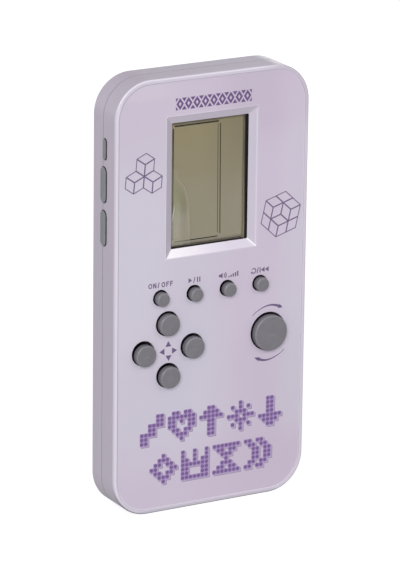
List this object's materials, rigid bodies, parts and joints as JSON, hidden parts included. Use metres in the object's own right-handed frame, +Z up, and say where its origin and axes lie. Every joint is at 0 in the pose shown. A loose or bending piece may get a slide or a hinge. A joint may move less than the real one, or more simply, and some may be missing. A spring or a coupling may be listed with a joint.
{
  "type": "handheld electronic game",
  "caption": "Slim phone-shaped handheld electronic game with a bevelled display window, round direction and action keys, side keys and a rear battery door.",
  "frame": {"origin": "centre of the bounding box at its lowest face, where the game stands upright on its lower end", "axes": "+X to the right as seen from the front, +Y from the display face towards the back, +Z up along the length"},
  "size_m": [0.0715, 0.0172, 0.1455],
  "materials": {
    "case_plastic": "pearl lavender paint on moulded plastic",
    "face_print": "satin printed film, pearl lavender with purple print",
    "key_grey": "moulded grey plastic, slightly domed",
    "side_key_grey": "moulded grey plastic",
    "black_foam": "black foam",
    "clear_film": "clear peel-off film",
    "lcd_glass": "olive grey display",
    "lcd_rear": "olive grey display",
    "reflector": "matt silver film",
    "black_plastic": "black moulded plastic",
    "elastomer": "striped grey elastomer",
    "keypad_rubber": "translucent grey silicone",
    "carbon": "carbon filled rubber",
    "board": "green solder mask on laminate",
    "epoxy": "black epoxy",
    "capacitor_sleeve": "dark sleeve",
    "resistor_body": "tan lacquer",
    "screw_steel": "zinc plated",
    "cell_jacket": "plain dark jacket",
    "spring_steel": "nickel plated wire",
    "contact_steel": "nickel plated sheet",
    "brass": "brass disc",
    "ceramic": "silvered ceramic",
    "wire_red": "red insulation",
    "wire_black": "black insulation",
    "switch_body": "black switch housing",
    "switch_plunger": "white plunger"
  },
  "bodies": {
    "case": {"battery_bridge": "contact_steel", "battery_cell_lower": "cell_jacket", "battery_cell_upper": "cell_jacket", "battery_contact_negative": "contact_steel", "battery_contact_positive": "contact_steel", "battery_spring_lower": "spring_steel", "battery_spring_upper": "spring_steel", "battery_wire_black": "wire_black", "battery_wire_red": "wire_red", "board_screws": "screw_steel", "capacitor": "capacitor_sleeve", "case_screws": "screw_steel", "chip_blob": "epoxy", "face_film": "face_print", "front_shell": "case_plastic", "keypad_carbon_pills": "carbon", "lcd_front_glass": "lcd_glass", "lcd_holder": "black_plastic", "lcd_protective_film": "clear_film", "lcd_rear_glass": "lcd_rear", "lcd_reflector": "reflector", "main_board": "board", "piezo_ceramic": "ceramic", "piezo_plate": "brass", "piezo_wire_black": "wire_black", "piezo_wire_red": "wire_red", "rear_shell": "case_plastic", "resistors": "resistor_body", "rubber_keypad": "keypad_rubber", "screen_gasket": "black_foam", "side_switch_lower": "switch_body", "side_switch_short": "switch_body", "side_switch_upper": "switch_body", "zebra_strip_lower": "elastomer", "zebra_strip_upper": "elastomer"},
    "down_key": {"key_down": "key_grey"},
    "left_key": {"key_left": "key_grey"},
    "power_key": {"key_power": "key_grey"},
    "reset_key": {"key_reset": "key_grey"},
    "right_key": {"key_right": "key_grey"},
    "rotate_key": {"key_rotate": "key_grey"},
    "sound_key": {"key_sound": "key_grey"},
    "start_pause_key": {"key_start_pause": "key_grey"},
    "up_key": {"key_up": "key_grey"},
    "short_side_key": {"side_key_short": "side_key_grey", "side_switch_plunger_short": "switch_plunger"},
    "upper_side_key": {"side_key_upper": "side_key_grey", "side_switch_plunger_upper": "switch_plunger"},
    "lower_side_key": {"side_key_lower": "side_key_grey", "side_switch_plunger_lower": "switch_plunger"},
    "door": {"battery_door": "case_plastic", "battery_door_latch": "case_plastic"}
  },
  "joints": [
    {"name": "down_key_press", "type": "slide", "parent": "case", "child": "down_key", "axis": [0, 1, 0], "range_m": [0, 0.001], "stiffness_N_per_m": 400, "springref_m": -0.0005, "deforming": ["rubber_keypad"]},
    {"name": "left_key_press", "type": "slide", "parent": "case", "child": "left_key", "axis": [0, 1, 0], "range_m": [0, 0.001], "stiffness_N_per_m": 400, "springref_m": -0.0005, "deforming": ["rubber_keypad"]},
    {"name": "power_key_press", "type": "slide", "parent": "case", "child": "power_key", "axis": [0, 1, 0], "range_m": [0, 0.001], "stiffness_N_per_m": 400, "springref_m": -0.0005, "deforming": ["rubber_keypad"]},
    {"name": "reset_key_press", "type": "slide", "parent": "case", "child": "reset_key", "axis": [0, 1, 0], "range_m": [0, 0.001], "stiffness_N_per_m": 400, "springref_m": -0.0005, "deforming": ["rubber_keypad"]},
    {"name": "right_key_press", "type": "slide", "parent": "case", "child": "right_key", "axis": [0, 1, 0], "range_m": [0, 0.001], "stiffness_N_per_m": 400, "springref_m": -0.0005, "deforming": ["rubber_keypad"]},
    {"name": "rotate_key_press", "type": "slide", "parent": "case", "child": "rotate_key", "axis": [0, 1, 0], "range_m": [0, 0.001], "stiffness_N_per_m": 400, "springref_m": -0.0005, "deforming": ["rubber_keypad"]},
    {"name": "sound_key_press", "type": "slide", "parent": "case", "child": "sound_key", "axis": [0, 1, 0], "range_m": [0, 0.001], "stiffness_N_per_m": 400, "springref_m": -0.0005, "deforming": ["rubber_keypad"]},
    {"name": "start_pause_key_press", "type": "slide", "parent": "case", "child": "start_pause_key", "axis": [0, 1, 0], "range_m": [0, 0.001], "stiffness_N_per_m": 400, "springref_m": -0.0005, "deforming": ["rubber_keypad"]},
    {"name": "up_key_press", "type": "slide", "parent": "case", "child": "up_key", "axis": [0, 1, 0], "range_m": [0, 0.001], "stiffness_N_per_m": 400, "springref_m": -0.0005, "deforming": ["rubber_keypad"]},
    {"name": "short_side_key_press", "type": "slide", "parent": "case", "child": "short_side_key", "axis": [1, 0, 0], "range_m": [0, 0.0005], "stiffness_N_per_m": 600, "springref_m": -0.0004},
    {"name": "upper_side_key_press", "type": "slide", "parent": "case", "child": "upper_side_key", "axis": [1, 0, 0], "range_m": [0, 0.0005], "stiffness_N_per_m": 600, "springref_m": -0.0004},
    {"name": "lower_side_key_press", "type": "slide", "parent": "case", "child": "lower_side_key", "axis": [1, 0, 0], "range_m": [0, 0.0005], "stiffness_N_per_m": 600, "springref_m": -0.0004},
    {"name": "battery_door_swing", "type": "hinge", "parent": "case", "child": "door", "pos_m": [0, 0.0086, 0.007], "axis": [-1, 0, 0], "range_deg": [0, 75], "deforming": ["battery_door_latch"]}
  ]
}
